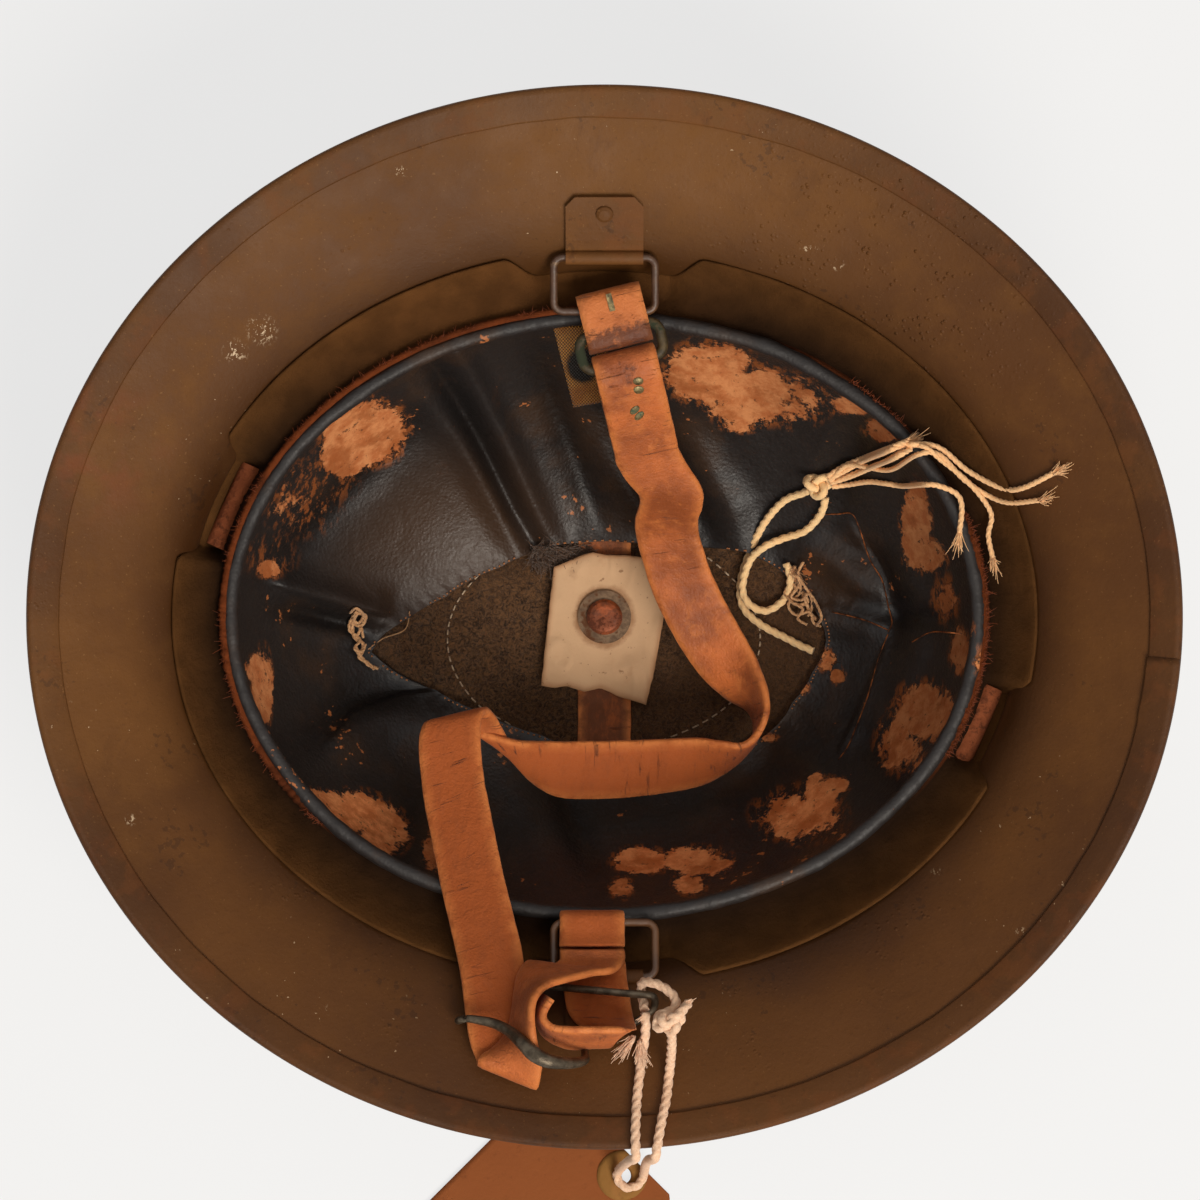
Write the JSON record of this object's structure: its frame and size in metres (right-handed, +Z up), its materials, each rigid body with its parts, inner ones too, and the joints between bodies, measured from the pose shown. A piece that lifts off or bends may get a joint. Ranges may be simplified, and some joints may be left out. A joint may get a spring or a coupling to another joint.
{
  "type": "helmet",
  "caption": "Wide-brimmed steel helmet lying on its crown, with a leather liner, drawcord, chin strap on wire loops, slide buckle and a string tag.",
  "frame": {"origin": "middle of the helmet's plan at the lowest point of the crown rivet's outer head", "axes": "+X along the helmet's longer axis, +Y across it towards the strap's riveted side, +Z up out of the bowl, from the crown to the rim"},
  "size_m": [0.306, 0.407, 0.1197],
  "materials": {
    "brown_paint": "matt brown paint with fine grit and small chips",
    "bare_copper": "worn, rusty copper",
    "washer_steel": "dull, rust-stained steel",
    "card": "matt, stained card",
    "tan_leather": "matt tan leather",
    "felt": "matt dark felt",
    "black_leather": "creased black leather with a slight sheen",
    "suede": "matt red-brown suede",
    "red_rubber": "matt, perished red-brown rubber",
    "cotton": "twisted cotton",
    "canvas": "coarse canvas weave",
    "strap_leather": "worn orange-brown leather",
    "verdigris_brass": "brass with patches of verdigris",
    "gunmetal": "dull dark steel",
    "string": "twisted pinkish string",
    "tag_card": "matt terracotta card",
    "tag_reinforcement": "matt olive card"
  },
  "bodies": {
    "helmet": {"shell": "brown_paint", "rim_binding": "brown_paint", "crown_rivet": "bare_copper", "crown_washer": "washer_steel", "crown_card": "card", "crown_strip": "tan_leather", "felt_pad": "felt", "liner_cap": "black_leather", "liner_bead": "black_leather", "liner_band": "suede", "rubber_tubes": "red_rubber", "tube_lace": "cotton", "canvas_patch": "canvas", "upper_bracket": "brown_paint", "lower_bracket": "brown_paint", "bracket_rivets": "brown_paint", "strap_main": "strap_leather", "strap_curl": "strap_leather", "drawcord": "cotton", "drawcord_strand": "cotton", "drawcord_knot": "cotton", "drawcord_tails": "cotton", "net_ends": "cotton", "tag_string": "string", "tag": "tag_card", "tag_patch": "tag_reinforcement"},
    "upper_hanger": {"upper_loop": "brown_paint", "strap_tab": "strap_leather", "tab_rivet": "verdigris_brass", "strap_link": "verdigris_brass", "strap_end": "strap_leather", "strap_rivets": "verdigris_brass"},
    "lower_hanger": {"lower_loop": "brown_paint", "strap_fold": "strap_leather"},
    "buckle": {"strap_buckle": "gunmetal", "string_knot": "string"}
  },
  "joints": [
    {"name": "upper_loop_swing", "type": "hinge", "parent": "helmet", "child": "upper_hanger", "pos_m": [0, 0.0963, 0.08701], "axis": [-1, 0, 0], "range_deg": [0, 40]},
    {"name": "lower_loop_swing", "type": "hinge", "parent": "helmet", "child": "lower_hanger", "pos_m": [0, -0.0963, 0.08701], "axis": [1, 0, 0], "range_deg": [-3, 8]},
    {"name": "buckle_slide", "type": "slide", "parent": "helmet", "child": "buckle", "axis": [0.4306, -0.8611, 0.2704], "range_m": [-0.0013, 0.0004]}
  ]
}
